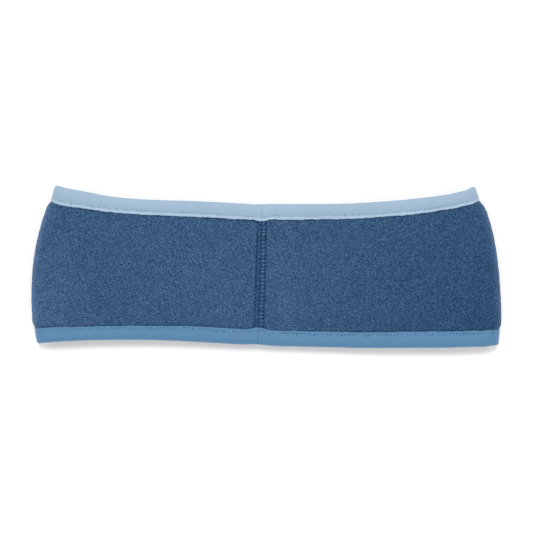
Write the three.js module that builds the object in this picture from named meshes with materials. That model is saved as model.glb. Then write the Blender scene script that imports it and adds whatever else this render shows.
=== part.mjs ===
// Ear warmer headband of brushed fleece with a stretch tape folded over each edge.
// It lies flat, doubled at two folds: the back of the band, with its join, is the layer on top,
// and the front of the band is the layer beneath.
// Millimetres, +Z up, +Y towards the edge worn uppermost, +X across the folds.
// The origin is under the middle of the band.

import * as THREE from "three";

const { lerp, smoothstep, clamp, euclideanModulo } = THREE.MathUtils;

// Driving dimensions
const FLAT_WIDTH = 245; // across the two folds, where the band is widest
const BAND_DEPTH = 84.4; // from the lowest point of the lower edge to the tips of the upper corners
const FLEECE_WALL = 3.0; // one layer of fleece
const BINDING_WIDTH = 8.0; // how far the tape reaches in from each edge
const TAPE_WALL = 0.6; // one layer of tape
const SEAT_GAP = 0.3; // between the fleece and the tape or threads on it
const BINDING_DRAW_IN = 0.7; // how far the tape pulls the ends of each fold in
const SEAM_LOFT = 9.6; // between the middles of the two layers, at the middle of the band
const FOLD_LOFT = 12.4; // the same beside the folds, where fleece won't crease
const SEAM_WIDTH = 5.4; // the flat-locked join, over its rows of thread
const SEAM_WALL = 0.5; // the threads' own thickness
const SEAM_LEFT_AT_TOP = 1.9; // how far left of the middle the join meets the upper edge
const SEAM_LEFT_AT_BOTTOM = 4.0; // and the lower edge

// Shares of those dimensions
const SEAM_PRESS = 0.72; // what the stitching leaves of the fleece's wall along the join
const BOUND_LOFT = 0.94; // what the tape leaves of the loft along each edge
const SETTLE = 1.5; // in binding widths from the edge, where the wall is full again

// Fineness of the mesh
const RUN_STEPS = 11; // from the join to a fold, on the back layer
const FRONT_STEPS = 22; // from fold to fold, on the front layer
const FOLD_STEPS = 8; // round a fold
const BODY_STEPS = 5; // across the open fleece

// The bound edges, from the left fold to the right one. along is a share of half the width there.
// lower and upper are heights as shares of BAND_DEPTH, and so is slip, which is how far up
// the front layer lies past the back one.
const EDGE_ROWS = [
  { along: -1.0, lower: 0.029, upper: 0.998, slip: -0.002 },
  { along: -0.95, lower: 0.0365, upper: 0.985, slip: 0.002 },
  { along: -0.83, lower: 0.042, upper: 0.952, slip: 0.005 },
  { along: -0.64, lower: 0.0495, upper: 0.92, slip: 0.0 },
  { along: -0.36, lower: 0.04, upper: 0.9025, slip: -0.004 },
  { along: -0.12, lower: 0.024, upper: 0.891, slip: -0.005 },
  { along: -0.02, lower: 0.0185, upper: 0.88, slip: -0.005 },
  { along: 0.07, lower: 0.011, upper: 0.887, slip: -0.005 },
  { along: 0.3, lower: 0.0025, upper: 0.889, slip: -0.004 },
  { along: 0.6, lower: 0.0, upper: 0.906, slip: -0.003 },
  { along: 0.79, lower: 0.002, upper: 0.932, slip: -0.002 },
  { along: 0.94, lower: 0.009, upper: 0.9645, slip: -0.001 },
  { along: 1.0, lower: 0.018, upper: 0.996, slip: 0.0 },
];

// The two folds, from the lower edge to the upper one. up is a share of the way,
// left and right are shares of half the FLAT_WIDTH.
const FOLD_ROWS = [
  { up: 0.0, left: -0.978, right: 0.991 },
  { up: 0.12, left: -0.99, right: 0.998 },
  { up: 0.24, left: -0.9985, right: 1.0 },
  { up: 0.36, left: -1.0, right: 0.999 },
  { up: 0.48, left: -0.995, right: 0.992 },
  { up: 0.6, left: -0.984, right: 0.981 },
  { up: 0.72, left: -0.966, right: 0.9645 },
  { up: 0.84, left: -0.942, right: 0.939 },
  { up: 0.92, left: -0.922, right: 0.914 },
  { up: 1.0, left: -0.904, right: 0.892 },
];

// The fleece under the tape, from its edge inwards: round at the edge, full at the tape's crest,
// and pinched where the tape is stitched down. inward is a share of the way to the tape's lip,
// and wall is a share of FLEECE_WALL.
const BOUND_ROWS = [
  { inward: 0.0, wall: 0.2 },
  { inward: 0.09, wall: 0.52 },
  { inward: 0.34, wall: 0.7 },
  { inward: 0.74, wall: 0.48 },
  { inward: 1.0, wall: 0.66 },
];

// A smooth curve through one column of a table, read at a value of another column.
function readTable(rows, key, column, at) {
  const last = rows.length - 1;
  const x = clamp(at, rows[0][key], rows[last][key]);
  let i = 0;
  while (i < last - 1 && x > rows[i + 1][key]) i += 1;
  const slope = (j, k) => (rows[k][column] - rows[j][column]) / (rows[k][key] - rows[j][key]);
  const steepness = (j) => slope(Math.max(j - 1, 0), Math.min(j + 1, last));
  const span = rows[i + 1][key] - rows[i][key];
  const rise = rows[i + 1][column] - rows[i][column];
  const t = (x - rows[i][key]) / span;
  const startBend = steepness(i) * span - rise;
  const endBend = steepness(i + 1) * span - rise;
  return rows[i][column] + rise * t + t * (1 - t) * ((1 - t) * startBend - t * endBend);
}

// A line of the band is told by its distance from the lower edge, which at the upper edge is FOLD_DEPTH.
const FOLD_DEPTH = BAND_DEPTH * (EDGE_ROWS.at(-1).upper - EDGE_ROWS.at(-1).lower);
const SETTLED = SETTLE * BINDING_WIDTH;

// 0 under the tape and 1 on the open fleece.
const openness = (across) => smoothstep(Math.min(across, FOLD_DEPTH - across), BINDING_WIDTH, SETTLED);

// The sections of the bound margin in millimetres, and the tape's own half thickness where it is fullest.
const FLEECE_EDGE = TAPE_WALL + SEAT_GAP;
const BOUND_MARGIN = BOUND_ROWS.map(({ inward, wall }) => ({
  inward: lerp(FLEECE_EDGE, BINDING_WIDTH, inward),
  half: (FLEECE_WALL / 2) * wall,
}));
const BOUND_HALF = Math.max(...BOUND_MARGIN.map(({ half }) => half)) + SEAT_GAP + TAPE_WALL;

// The outermost points of the two folds, on a line across the band.
function foldsAt(across) {
  const drawn = BINDING_DRAW_IN * (1 - openness(across));
  const up = across / FOLD_DEPTH;
  return {
    left: (FLAT_WIDTH / 2) * readTable(FOLD_ROWS, "up", "left", up) + drawn,
    right: (FLAT_WIDTH / 2) * readTable(FOLD_ROWS, "up", "right", up) - drawn,
  };
}

// The middle of the wall. around runs 0 to 1 over the back layer from left to right with the join at 0.5,
// to 2 round the right fold, to 3 back over the front layer and to 4 round the left fold.
function wallMiddle(around, across) {
  const { left, right } = foldsAt(across);
  const bound = lerp(BOUND_LOFT, 1, openness(across));
  const foldRadius = (FOLD_LOFT * bound) / 2;
  const tip = FLEECE_WALL / 2 + foldRadius;
  const from = left + tip;
  const to = right - tip;
  const seam = -lerp(SEAM_LEFT_AT_BOTTOM, SEAM_LEFT_AT_TOP, across / FOLD_DEPTH);
  const frontHeight = lerp(BOUND_HALF, FLEECE_WALL / 2, openness(across));
  const place = euclideanModulo(around, 4);

  let x;
  let z;
  let under;
  if (place <= 1) {
    x = place < 0.5 ? lerp(from, seam, 2 * place) : lerp(seam, to, 2 * place - 1);
    const towardsFold = Math.abs((2 * x - from - to) / (to - from));
    z = frontHeight + bound * lerp(SEAM_LOFT, FOLD_LOFT, smoothstep(towardsFold, 0, 1));
    under = 0;
  } else if (place < 2) {
    const turn = Math.PI * (place - 1);
    x = to + foldRadius * Math.sin(turn);
    z = frontHeight + foldRadius * (1 + Math.cos(turn));
    under = (1 - Math.cos(turn)) / 2;
  } else if (place <= 3) {
    x = lerp(to, from, place - 2);
    z = frontHeight;
    under = 1;
  } else {
    const turn = Math.PI * (place - 3);
    x = from - foldRadius * Math.sin(turn);
    z = frontHeight + foldRadius * (1 - Math.cos(turn));
    under = (1 + Math.cos(turn)) / 2;
  }

  const along = (2 * x - left - right) / (right - left - FLEECE_WALL);
  const slip = under * readTable(EDGE_ROWS, "along", "slip", along);
  const lower = BAND_DEPTH * (readTable(EDGE_ROWS, "along", "lower", along) + slip - 0.5);
  const upper = BAND_DEPTH * (readTable(EDGE_ROWS, "along", "upper", along) + slip - 0.5);
  const share = clamp((across - SETTLED) / (FOLD_DEPTH - 2 * SETTLED), 0, 1);
  const overLower = lower + Math.min(across, SETTLED);
  const underUpper = upper - Math.min(FOLD_DEPTH - across, SETTLED);
  return new THREE.Vector3(x, lerp(overLower, underUpper, share), z);
}

// A point off the middle of the wall, out being towards the band's outer face.
function offWall(around, across, out) {
  const reach = 0.002;
  const run = wallMiddle(around + reach, across).sub(wallMiddle(around - reach, across));
  const rise = wallMiddle(around, across + reach).sub(wallMiddle(around, across - reach));
  const facing = run.cross(rise).normalize();
  return wallMiddle(around, across).addScaledVector(facing, out);
}

// Places on the back layer, by their distance from the join.
const HALF_RUN = FLAT_WIDTH / 2 - FOLD_LOFT;
const besideSeam = (distance) => 0.5 + distance / (2 * HALF_RUN);

// What the join's stitching leaves of the fleece's wall at a place round the loop.
function pressedAt(around) {
  const distance = Math.abs(around - 0.5) * 2 * HALF_RUN;
  return lerp(SEAM_PRESS, 1, smoothstep(distance, SEAM_WIDTH / 2 + SEAT_GAP, SEAM_WIDTH));
}

// The places round the loop where it is cut into sections, closer together over the join.
function loopPlaces() {
  const steps = (from, to, count) =>
    Array.from({ length: count }, (_, i) => lerp(from, to, (i + 1) / count));
  const seamSide = besideSeam(SEAM_WIDTH);
  const rightOfSeam = [besideSeam(SEAM_WIDTH / 2 + SEAT_GAP), seamSide, ...steps(seamSide, 1, RUN_STEPS)];
  const leftOfSeam = rightOfSeam.map((around) => 1 - around).reverse();
  const rightFold = steps(1, 2, FOLD_STEPS);
  const front = steps(2, 3, FRONT_STEPS);
  const leftFold = steps(3, 4, FOLD_STEPS).slice(0, -1);
  return [...leftOfSeam, 0.5, ...rightOfSeam, ...rightFold, ...front, ...leftFold];
}

// A solid's skin from rows of points, each row a closed section. The rows close into a ring or are capped.
function skinGeometry(rows, ring) {
  const count = rows[0].length;
  const index = [];
  const joins = ring ? rows.length : rows.length - 1;
  for (let i = 0; i < joins; i += 1) {
    const here = i * count;
    const next = ((i + 1) % rows.length) * count;
    for (let k = 0; k < count; k += 1) {
      const beside = (k + 1) % count;
      index.push(here + k, next + k, next + beside);
      index.push(here + k, next + beside, here + beside);
    }
  }
  if (!ring) {
    const far = (rows.length - 1) * count;
    for (let k = 1; k < count - 1; k += 1) {
      index.push(0, k, k + 1);
      index.push(far, far + k + 1, far + k);
    }
  }
  const geometry = new THREE.BufferGeometry();
  const positions = rows.flat().flatMap((point) => point.toArray());
  geometry.setAttribute("position", new THREE.Float32BufferAttribute(positions, 3));
  geometry.setIndex(index);
  geometry.computeVertexNormals();
  return geometry;
}

// A section swept round the whole loop. section gives its corners at a place round the loop.
function sweptLoop(section) {
  const rows = loopPlaces().map((around) =>
    section(around).map(({ across, out }) => offWall(around, across, out)),
  );
  return skinGeometry(rows, true);
}

// The open fleece between the bound margins.
function bodyLines() {
  return Array.from({ length: BODY_STEPS + 1 }, (_, i) => ({
    across: lerp(SETTLED, FOLD_DEPTH - SETTLED, i / BODY_STEPS),
    half: FLEECE_WALL / 2,
  }));
}

// The fleece strip, closed into a loop at its join.
function fleeceGeometry() {
  const lowerMargin = BOUND_MARGIN.map(({ inward, half }) => ({ across: inward, half }));
  const upperMargin = BOUND_MARGIN.map(({ inward, half }) => ({ across: FOLD_DEPTH - inward, half }));
  const lines = [...lowerMargin, ...bodyLines(), ...upperMargin.reverse()];
  return sweptLoop((around) => {
    const pressed = pressedAt(around);
    const outer = lines.map(({ across, half }) => ({ across, out: half * pressed }));
    const inner = lines.map(({ across, half }) => ({ across, out: -half * pressed })).reverse();
    return [...outer, ...inner];
  });
}

// The bound margin's section moved out by a clearance, from the outer lip round to the inner lip.
function marginSkin(clearance) {
  const outer = BOUND_MARGIN.map(({ inward, half }) => new THREE.Vector2(inward, half)).reverse();
  const inner = BOUND_MARGIN.map(({ inward, half }) => new THREE.Vector2(inward, -half));
  const corners = [...outer, ...inner];
  const facing = (from, to) => new THREE.Vector2(to.y - from.y, from.x - to.x).normalize();
  return corners.map((corner, i) => {
    const before = i > 0 ? facing(corners[i - 1], corner) : new THREE.Vector2(0, 1);
    const after = i < corners.length - 1 ? facing(corner, corners[i + 1]) : new THREE.Vector2(0, -1);
    const mitre = before.clone().add(after).normalize();
    return corner.clone().addScaledVector(mitre, clearance / mitre.dot(after));
  });
}

// The tape folded over one edge: a thin U that follows the fleece, stitched down along its pinched line.
function bindingGeometry(isUpper) {
  const outside = marginSkin(SEAT_GAP + TAPE_WALL);
  const inside = marginSkin(SEAT_GAP).reverse();
  const corners = [...outside, ...inside];
  const section = corners.map(({ x, y }) => ({ across: isUpper ? FOLD_DEPTH - x : x, out: y }));
  if (!isUpper) section.reverse();
  return sweptLoop(() => section);
}

// The threads of the flat-locked join, as one thin strip from lip to lip.
// face is 1 on the band's outer face and -1 on its inner face.
function seamGeometry(face) {
  const start = BINDING_WIDTH + TAPE_WALL;
  const lipHalf = BOUND_MARGIN.at(-1).half;
  const startHalf = lerp(lipHalf, FLEECE_WALL / 2, (start - BINDING_WIDTH) / (SETTLED - BINDING_WIDTH));
  const atLips = [start, FOLD_DEPTH - start].map((across) => ({ across, half: startHalf }));
  const lines = [atLips[0], ...bodyLines(), atLips[1]];
  const places = [-SEAM_WIDTH / 2, 0, SEAM_WIDTH / 2].map(besideSeam);
  const rows = lines.map(({ across, half }) => {
    const near = half * SEAM_PRESS + SEAT_GAP;
    const nearSide = places.map((around) => offWall(around, across, face * near));
    const farSide = places.map((around) => offWall(around, across, face * (near + SEAM_WALL)));
    return [...nearSide, ...farSide.reverse()];
  });
  return skinGeometry(face > 0 ? rows : rows.reverse(), false);
}

const fleeceCloth = new THREE.MeshStandardMaterial({ color: 0x3d5c7f, roughness: 0.95, metalness: 0 });
const paleTape = new THREE.MeshStandardMaterial({ color: 0xa4bed4, roughness: 0.55, metalness: 0 });
const blueTape = new THREE.MeshStandardMaterial({ color: 0x628bb0, roughness: 0.55, metalness: 0 });
const seamThread = new THREE.MeshStandardMaterial({ color: 0x2f4f70, roughness: 0.7, metalness: 0 });

function piece(name, geometry, material) {
  const mesh = new THREE.Mesh(geometry, material);
  mesh.name = name;
  return mesh;
}

const headband = new THREE.Group();
headband.name = "ear_warmer_headband";
headband.add(
  piece("fleece_band", fleeceGeometry(), fleeceCloth),
  piece("upper_binding", bindingGeometry(true), paleTape),
  piece("lower_binding", bindingGeometry(false), blueTape),
  piece("seam_outer", seamGeometry(1), seamThread),
  piece("seam_inner", seamGeometry(-1), seamThread),
);

export default headband;
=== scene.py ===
# Ear warmer headband of brushed fleece, laid flat and doubled, with stretch tape folded over both edges.
# Metres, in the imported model's frame: +Z up, +Y towards the edge worn uppermost, +X across the folds.

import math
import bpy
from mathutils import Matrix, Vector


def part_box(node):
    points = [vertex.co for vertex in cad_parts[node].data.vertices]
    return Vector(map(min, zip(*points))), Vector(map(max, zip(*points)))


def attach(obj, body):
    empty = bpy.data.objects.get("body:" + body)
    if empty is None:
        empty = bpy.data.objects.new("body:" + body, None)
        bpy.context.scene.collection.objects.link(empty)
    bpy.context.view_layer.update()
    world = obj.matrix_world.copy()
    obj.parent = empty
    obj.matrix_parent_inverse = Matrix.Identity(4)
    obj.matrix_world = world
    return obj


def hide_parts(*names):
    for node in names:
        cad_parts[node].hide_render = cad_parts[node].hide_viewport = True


bl_info = {
    "name": "Ear Warmer Headband",
    "version": (1, 0, 0),
    "blender": (4, 5, 0),
    "location": "View3D > Sidebar > Headband",
    "description": "Dresses the packed frame of a fleece ear warmer with cloth, tape, thread and light",
    "category": "Object",
}

import bpy
import numpy as np
from bpy.props import FloatProperty, FloatVectorProperty, PointerProperty
from mathutils import Vector, noise

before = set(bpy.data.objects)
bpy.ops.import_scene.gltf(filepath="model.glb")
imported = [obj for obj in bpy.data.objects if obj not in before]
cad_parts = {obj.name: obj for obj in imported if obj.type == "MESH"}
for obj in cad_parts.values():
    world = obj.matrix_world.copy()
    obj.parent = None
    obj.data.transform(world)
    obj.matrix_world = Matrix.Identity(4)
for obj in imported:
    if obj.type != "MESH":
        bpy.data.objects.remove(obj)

BAND_LOW, BAND_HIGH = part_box("fleece_band")
CLOTH_MAP = "ClothMap"
TONE = "tone"

# The bound edges, from the left fold to the right one: place along, as a share of half the width there,
# then the heights of the lower and upper edges and how far up the front layer lies past the back one,
# as shares of the band's depth.
EDGE_ROWS = np.array([
    (-1.0, 0.027, 1.002, -0.002), (-0.95, 0.0345, 0.9825, 0.002), (-0.88, 0.0405, 0.964, 0.0045),
    (-0.78, 0.0465, 0.939, 0.004), (-0.64, 0.049, 0.92, 0.0), (-0.5, 0.0475, 0.911, -0.0025),
    (-0.33, 0.038, 0.905, -0.004), (-0.12, 0.022, 0.891, -0.005), (-0.05, 0.0225, 0.885, -0.005),
    (0.03, 0.012, 0.8875, -0.005), (0.12, 0.0095, 0.887, -0.005), (0.3, 0.003, 0.888, -0.004),
    (0.42, -0.0015, 0.891, -0.0035), (0.64, -0.0005, 0.9095, -0.003), (0.78, 0.0005, 0.928, -0.002),
    (0.88, 0.005, 0.9455, -0.0015), (0.95, 0.007, 0.9655, -0.001), (0.975, 0.011, 0.975, -0.0005),
    (1.0, 0.015, 0.993, 0.0),
])
EDGE_LOWER, EDGE_UPPER, EDGE_SLIP = 1, 2, 3

# The two folds, from the lower edge to the upper one: share of the way up, then the left and right
# outermost points, as shares of half the flat width.
FOLD_ROWS = np.array([
    (0.0, -0.979, 0.9945), (0.12, -0.9945, 1.0025), (0.24, -1.0, 1.003), (0.36, -1.0, 0.9995),
    (0.48, -0.9945, 0.9925), (0.6, -0.9835, 0.9825), (0.72, -0.9655, 0.966), (0.84, -0.94, 0.941),
    (0.92, -0.919, 0.9145), (1.0, -0.9035, 0.8945),
])
FOLD_LEFT, FOLD_RIGHT = 1, 2

# Half the fleece's wall, as a share of what it is in the open, by distance from the edge as a share of
# the tape's reach: on the two layers, and round the folds.
WALL_ROWS = np.array([
    (0.1125, 0.2, 0.2), (0.19, 0.52, 0.52), (0.41, 0.7, 0.7), (0.72, 0.5, 0.66), (0.93, 0.6, 0.7),
    (1.03, 0.76, 0.9), (1.12, 0.88, 0.97), (1.25, 0.95, 1.0), (1.5, 1.0, 1.0),
])
WALL_OPEN, WALL_FOLD = 1, 2

# How far each tape's lip reaches in on the layers, in tape widths, by place across the folds as a share
# of half the flat width.
UPPER_REACH_ROWS = np.array([
    (-0.92, 1.06), (-0.88, 1.16), (-0.81, 1.11), (-0.74, 1.045), (-0.66, 1.01), (-0.5, 1.01),
    (-0.3, 1.035), (-0.15, 1.05), (0.0, 1.035), (0.14, 1.04), (0.28, 1.005), (0.5, 1.005),
    (0.69, 0.985), (0.76, 0.945), (0.83, 0.925), (0.91, 0.97),
])
LOWER_REACH_ROWS = np.array([
    (-0.99, 1.06), (-0.93, 0.975), (-0.8, 0.915), (-0.62, 0.91), (-0.42, 0.965), (-0.33, 1.01),
    (-0.15, 1.02), (0.0, 1.0), (0.14, 1.0), (0.28, 1.01), (0.42, 1.04), (0.52, 1.05), (0.6, 1.08),
    (0.69, 1.095), (0.76, 1.08), (0.98, 1.07),
])

# One face of the tape's section, from the rim to the tip of its lip: distance in and height off the
# wall's middle, in tape widths. The groove is where it is stitched down. Round the folds it is pulled
# tight over the rim and the groove closes.
UPPER_TAPE_ROWS = np.array([
    (0.0, 0.0), (0.012, 0.07), (0.055, 0.142), (0.13, 0.198), (0.25, 0.234), (0.4, 0.242),
    (0.54, 0.235), (0.66, 0.219), (0.74, 0.204), (0.805, 0.217), (0.87, 0.235), (0.945, 0.234),
    (0.99, 0.214), (1.0, 0.158),
])
LOWER_TAPE_ROWS = np.array([
    (0.0, 0.0), (0.012, 0.07), (0.055, 0.142), (0.13, 0.198), (0.24, 0.236), (0.38, 0.246),
    (0.54, 0.24), (0.69, 0.222), (0.765, 0.206), (0.81, 0.202), (0.86, 0.212), (0.915, 0.222),
    (0.96, 0.216), (0.99, 0.195), (1.0, 0.158),
])
TIGHT_TAPE_ROWS = np.array([
    (0.0, 0.0), (0.006, 0.09), (0.028, 0.165), (0.08, 0.213), (0.2, 0.236), (0.35, 0.238),
    (0.52, 0.232), (0.66, 0.226), (0.77, 0.22), (0.86, 0.216), (0.93, 0.208), (0.985, 0.19),
    (1.0, 0.158),
])


def size_property(name, description, default):
    """A length that a user may change."""
    return FloatProperty(name=name, description=description, default=default, unit="LENGTH")


class HeadbandSizes(bpy.types.PropertyGroup):
    """Sizes of the headband's cloth, tape and thread."""

    flat_width: size_property(
        "Flat Width", "Width across the two folds, where the band is widest", BAND_HIGH.x - BAND_LOW.x
    )
    band_depth: size_property(
        "Band Depth", "From the lowest point of the lower edge to the tips of the upper corners", 0.0844
    )
    fleece_wall: size_property("Fleece Wall", "Thickness of one layer of fleece", 0.003)
    nap_height: size_property("Nap Height", "How far the brushed nap stands up and sinks in", 0.00016)
    nap_grain: size_property("Nap Grain", "Size of the tufts that brushing leaves", 0.0013)
    tape_width: size_property("Tape Width", "How far the folded tape reaches in from each edge", 0.008)
    tape_wall: size_property("Tape Wall", "Thickness of one layer of tape", 0.0005)
    stitch_pitch: size_property(
        "Tape Stitch Pitch", "Distance between the needle holes along each tape", 0.00181
    )
    seam_loft: size_property(
        "Seam Loft", "Between the middles of the two layers, at the middle of the band", 0.0096
    )
    fold_loft: size_property("Fold Loft", "Between the middles of the two layers, beside the folds", 0.0124)
    seam_width: size_property("Seam Width", "Width of the flat-locked join over its rows of thread", 0.0058)
    seam_pitch: size_property(
        "Seam Stitch Pitch", "Distance between the stitches of the flat-locked join", 0.00194
    )


def colour_property(name, description, default):
    """A colour that a user may change."""
    return FloatVectorProperty(
        name=name, description=description, default=default, min=0.0, max=1.0, size=3, subtype="COLOR"
    )


class HeadbandColours(bpy.types.PropertyGroup):
    """Colours of the headband and the surface that it lies on."""

    fleece: colour_property("Fleece", "Body of the brushed fleece", (0.0345, 0.077, 0.152))
    # The upper tape is the lower tape's cloth; this paler colour paints in the sheen that the upper edge
    # catches from the light.
    pale_tape: colour_property("Upper Tape", "Tape along the upper edge", (0.222, 0.3135, 0.41))
    blue_tape: colour_property("Lower Tape", "Tape along the lower edge", (0.0495, 0.142, 0.256))
    seam_thread: colour_property("Seam Thread", "Thread of the flat-locked join", (0.033, 0.0755, 0.148))
    floor: colour_property("Floor", "Plain surface that the band lies on", (0.84, 0.82, 0.803))


# Shape of the band

# Where the open fleece begins, the share of the loft left between bound edges, the share of the wall left
# under the join's stitches, how far the fleece sinks there, how far the tapes draw in the folds, how far
# left of the middle the join lies, and the height of the tape's crest off the wall's middle. The first
# and the last are in tape widths.
SETTLE = 1.5
BOUND_LOFT = 0.94
SEAM_PRESS = 0.72
SEAM_TROUGH = 0.0004
BINDING_DRAW_IN = 0.0008
SEAM_LEFT_AT_TOP = 0.0019
SEAM_LEFT_AT_BOTTOM = 0.004
CREST = 0.24375


def smooth_step(value, low, high):
    """0 below low and 1 above high, with a smooth rise between."""
    share = np.clip((value - low) / (high - low), 0.0, 1.0)
    return share * share * (3.0 - 2.0 * share)


def blend(start, end, share):
    """A value on the way from start to end."""
    return start + (end - start) * share


def bell(value, width):
    """1 at 0, falling smoothly to next to nothing at twice the width."""
    return np.exp(-((value / width) ** 2))


def distances_along(line):
    """Distance along a line of points to each of them."""
    steps = np.linalg.norm(np.diff(line, axis=-2), axis=-1)
    return np.concatenate([np.zeros((*steps.shape[:-1], 1)), np.cumsum(steps, axis=-1)], axis=-1)


def smooth_column(rows, column, at):
    """A smooth curve through one column of a table, read at values of its first column."""
    keys, values = rows[:, 0], rows[:, column]
    before = np.maximum(np.arange(len(keys)) - 1, 0)
    after = np.minimum(np.arange(len(keys)) + 1, len(keys) - 1)
    slopes = (values[after] - values[before]) / (keys[after] - keys[before])
    at = np.clip(at, keys[0], keys[-1])
    i = np.clip(np.searchsorted(keys, at) - 1, 0, len(keys) - 2)
    span = keys[i + 1] - keys[i]
    rise = values[i + 1] - values[i]
    t = (at - keys[i]) / span
    start_bend = slopes[i] * span - rise
    end_bend = slopes[i + 1] * span - rise
    return values[i] + rise * t + t * (1.0 - t) * ((1.0 - t) * start_bend - t * end_bend)


def lumps(points, size, seed):
    """Smooth noise between about -1 and 1, with lumps of the given size."""
    shift = Vector((7.31, 3.17, 5.71)) * seed
    flat = points.reshape(-1, 3) / size
    found = [noise.noise(Vector(point) + shift) for point in flat]
    return np.array(found).reshape(points.shape[:-1])


class BandForm:
    """The middle of the band's wall, and places on it. around runs 0 to 1 over the back layer from left
    to right with the join at 0.5, to 2 round the right fold, to 3 back over the front layer and to 4
    round the left fold. across is the distance from the lower edge."""

    def __init__(self, sizes):
        self.sizes = sizes
        self.fold_depth = sizes.band_depth * (EDGE_ROWS[-1, EDGE_UPPER] - EDGE_ROWS[-1, EDGE_LOWER])
        self.settled = SETTLE * sizes.tape_width
        self.half_run = sizes.flat_width / 2 - sizes.fold_loft

    def from_edge(self, across):
        return np.minimum(across, self.fold_depth - across)

    def openness(self, across):
        """0 under the tape and 1 on the open fleece."""
        return smooth_step(self.from_edge(across), self.sizes.tape_width, self.settled)

    def foldedness(self, around):
        """0 on the two layers, rising to 1 at the outermost line of each fold."""
        place = np.mod(around, 2.0)
        return np.where(place > 1.0, np.sin(np.pi * (place - 1.0)), 0.0)

    def line(self, edge, inward):
        """The band's line at a distance in from one edge."""
        return self.fold_depth - inward if edge == "upper" else inward

    def tightness(self, around):
        """How far the tapes are pulled tight, which they are round the folds."""
        return smooth_step(self.foldedness(around), 0.5, 0.97)

    def reach(self, around, edge):
        """How far in one tape's lip reaches, in tape widths."""
        rows = UPPER_REACH_ROWS if edge == "upper" else LOWER_REACH_ROWS
        x = self.middle(around, self.line(edge, self.sizes.tape_width))[..., 0]
        return smooth_column(rows, 1, 2 * x / self.sizes.flat_width)

    def under_tape(self, around, across):
        """Distance from the nearer edge, as a share of how far in that edge's tape reaches."""
        around, across = np.broadcast_arrays(around, across)
        upper_half = across > self.fold_depth / 2
        reach = np.where(upper_half, self.reach(around, "upper"), self.reach(around, "lower"))
        return self.from_edge(across) / (self.sizes.tape_width * reach)

    def beside_seam(self, distance):
        """Places on the back layer, by their distance from the join."""
        return 0.5 + distance / (2 * self.half_run)

    def seam_distance(self, around):
        """How far a place is from the join, on the back layer. It is far for all others."""
        place = np.mod(around, 4.0)
        return np.where(place <= 1.0, (place - 0.5) * 2 * self.half_run, 1.0)

    def middle(self, around, across):
        sizes = self.sizes
        around, across = np.broadcast_arrays(np.mod(around, 4.0), across)
        openness = self.openness(across)
        up = across / self.fold_depth
        drawn = BINDING_DRAW_IN * (1.0 - openness)
        left = sizes.flat_width / 2 * smooth_column(FOLD_ROWS, FOLD_LEFT, up) + drawn
        right = sizes.flat_width / 2 * smooth_column(FOLD_ROWS, FOLD_RIGHT, up) - drawn
        bound = blend(BOUND_LOFT, 1.0, openness)
        radius = sizes.fold_loft * bound / 2
        start = left + sizes.fleece_wall / 2 + radius
        end = right - sizes.fleece_wall / 2 - radius
        seam = -blend(SEAM_LEFT_AT_BOTTOM, SEAM_LEFT_AT_TOP, up)
        front_height = blend(CREST * sizes.tape_width, sizes.fleece_wall / 2, openness)

        on_back = around <= 1.0
        on_right = (around > 1.0) & (around < 2.0)
        on_front = (around >= 2.0) & (around <= 3.0)
        turn = np.pi * np.where(on_right, around - 1.0, around - 3.0)
        back_x = np.where(around < 0.5, blend(start, seam, 2 * around), blend(seam, end, 2 * around - 1))
        towards_fold = np.abs((2 * back_x - start - end) / (end - start))
        loft = blend(sizes.seam_loft, sizes.fold_loft, smooth_step(towards_fold, 0.0, 1.0))
        back_z = front_height + bound * loft
        cases = [on_back, on_right, on_front]
        x = np.select(
            cases,
            [back_x, end + radius * np.sin(turn), blend(end, start, around - 2.0)],
            start - radius * np.sin(turn),
        )
        z = np.select(
            cases,
            [back_z, front_height + radius * (1 + np.cos(turn)), front_height],
            front_height + radius * (1 - np.cos(turn)),
        )
        under = np.select(cases, [0.0, (1 - np.cos(turn)) / 2, 1.0], (1 + np.cos(turn)) / 2)

        along = (2 * x - left - right) / (right - left - sizes.fleece_wall)
        slip = under * smooth_column(EDGE_ROWS, EDGE_SLIP, along) - 0.5
        lower = sizes.band_depth * (smooth_column(EDGE_ROWS, EDGE_LOWER, along) + slip)
        upper = sizes.band_depth * (smooth_column(EDGE_ROWS, EDGE_UPPER, along) + slip)
        share = (across - self.settled) / (self.fold_depth - 2 * self.settled)
        over_lower = lower + np.minimum(across, self.settled)
        under_upper = upper - np.minimum(self.fold_depth - across, self.settled)
        y = blend(over_lower, under_upper, np.clip(share, 0.0, 1.0))
        return np.stack([x, y, z], axis=-1)

    def facing(self, around, across):
        """The way the band's outer face looks."""
        run = self.middle(around + 0.002, across) - self.middle(around - 0.002, across)
        rise = self.middle(around, across + 2e-6) - self.middle(around, across - 2e-6)
        normal = np.cross(run, rise)
        return normal / np.linalg.norm(normal, axis=-1, keepdims=True)

    def off_wall(self, around, across, out):
        """Points off the middle of the wall, out being towards the band's outer face."""
        around, across, out = np.broadcast_arrays(around, across, out)
        return self.middle(around, across) + self.facing(around, across) * out[..., None]

    def even_places(self, across, spacing, step=1):
        """Places round the loop from the join on, evenly spaced along one line of the band, with their
        distances from the join. Their number is a multiple of step."""
        fine = np.linspace(0.5, 4.5, 12001)
        reached = distances_along(self.middle(fine, across))
        count = step * round(reached[-1] / spacing / step)
        distances = np.arange(count) * reached[-1] / count
        return np.interp(distances, reached, fine), distances, reached[-1]


# Meshes

def new_piece(name, mesh, material, body="root"):
    """An object for a mesh, with its material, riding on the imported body."""
    piece = bpy.data.objects.new(name, mesh)
    bpy.context.scene.collection.objects.link(piece)
    mesh.materials.append(material)
    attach(piece, body)
    return piece


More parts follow.
